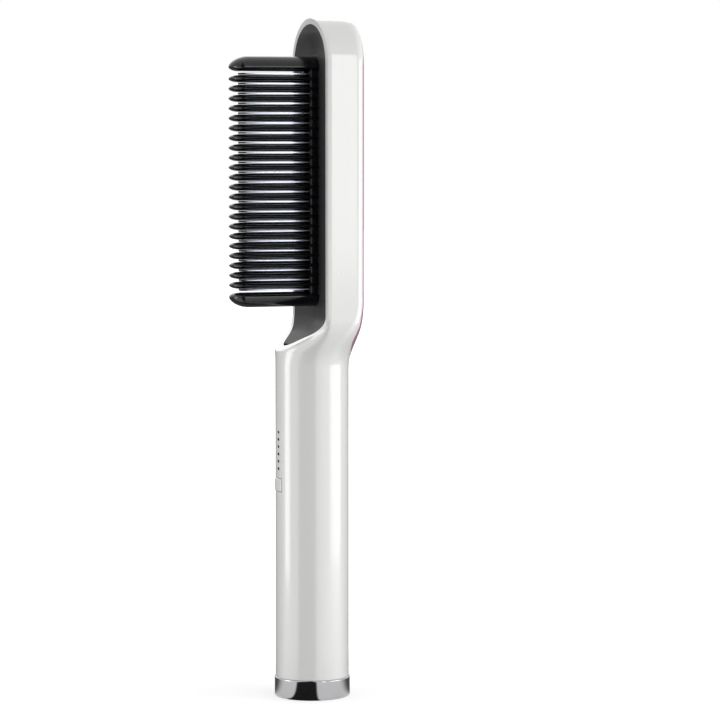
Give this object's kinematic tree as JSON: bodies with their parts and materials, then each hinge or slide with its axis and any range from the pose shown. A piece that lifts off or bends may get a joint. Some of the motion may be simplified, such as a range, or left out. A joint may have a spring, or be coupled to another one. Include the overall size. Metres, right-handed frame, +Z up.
{
  "type": "hot comb",
  "caption": "Electric straightening comb: round white handle with one button, flat head with heated fins between comb blades, coloured trim ring on the back, swivelling cord inlet in the foot.",
  "frame": {"origin": "on the handle's axis, in the plane of the foot ring's lower face, 1 mm below the mouth of the cord hole", "axes": "+Z up along the handle towards the head's rounded top, -Y the way the comb blades point, +Y towards the coloured back, +X to the right seen from the back"},
  "size_m": [0.0478, 0.0519, 0.2849],
  "materials": {
    "housing": "smooth white ABS, satin gloss",
    "trim_ring": "glossy mauve-pink plastic",
    "back_panel": "satin pale grey plastic",
    "comb_tray": "fine matte dark grey heat-proof plastic",
    "comb_guard": "semi-gloss near-black heat-proof plastic",
    "heating_fins": "polished coated aluminium",
    "insulating_film": "amber polyimide film",
    "ceramic_heaters": "bare grey ceramic heater plate",
    "heater_clamp": "pressed steel strip",
    "clamp_screws": "zinc-plated steel",
    "heat_shield": "pressed mica-like sheet",
    "thermal_fuse": "pale ceramic tube",
    "thermistor": "dark glass bead",
    "tray_screws": "zinc-plated steel",
    "button_cap": "glossy white plastic",
    "tact_switch": "black switch body",
    "light_guide": "dark tinted acrylic",
    "indicator_lamps": "moulded lamp body",
    "circuit_board": "green fibreglass board",
    "board_screws": "zinc-plated steel",
    "controller_chip": "black moulded chip",
    "triac": "black moulded power part",
    "film_capacitor": "yellow box capacitor",
    "smoothing_capacitor": "sleeved aluminium can",
    "chassis": "unfinished moulded nylon",
    "heater_leads": "silicone insulation",
    "sensor_leads": "thin white insulation",
    "mains_leads": "brown insulation",
    "base_ring": "dark mirror-finish plated plastic",
    "base_cap": "matte black plastic",
    "foot_screws": "zinc-plated steel",
    "cord_swivel": "matte black acetal",
    "swivel_clip": "spring steel",
    "slip_rings": "turned brass",
    "contact_carrier": "tan heat-proof plastic",
    "slip_contacts": "sprung brass strip"
  },
  "bodies": {
    "handle": {"housing": "housing", "trim_ring": "trim_ring", "back_panel": "back_panel", "comb_tray": "comb_tray", "comb_guard": "comb_guard", "heating_fins": "heating_fins", "insulating_film": "insulating_film", "ceramic_heaters": "ceramic_heaters", "heater_clamp": "heater_clamp", "clamp_screws": "clamp_screws", "heat_shield": "heat_shield", "thermal_fuse": "thermal_fuse", "thermistor": "thermistor", "tray_screws": "tray_screws", "tact_switch": "tact_switch", "light_guide": "light_guide", "indicator_lamps": "indicator_lamps", "circuit_board": "circuit_board", "board_screws": "board_screws", "controller_chip": "controller_chip", "triac": "triac", "film_capacitor": "film_capacitor", "smoothing_capacitor": "smoothing_capacitor", "chassis": "chassis", "heater_leads": "heater_leads", "sensor_leads": "sensor_leads", "mains_leads": "mains_leads", "base_ring": "base_ring", "base_cap": "base_cap", "foot_screws": "foot_screws", "contact_carrier": "contact_carrier", "slip_contacts": "slip_contacts"},
    "button": {"button_cap": "button_cap"},
    "cord_inlet": {"cord_swivel": "cord_swivel", "swivel_clip": "swivel_clip", "slip_rings": "slip_rings"}
  },
  "joints": [
    {"name": "button_press", "type": "slide", "parent": "handle", "child": "button", "axis": [0, 1, 0], "range_m": [0, 0.0005], "stiffness_N_per_m": 3000},
    {"name": "cord_swivel_turn", "type": "hinge", "parent": "handle", "child": "cord_inlet", "pos_m": [0, 0, 0], "axis": [0, 0, 1], "continuous": true}
  ]
}
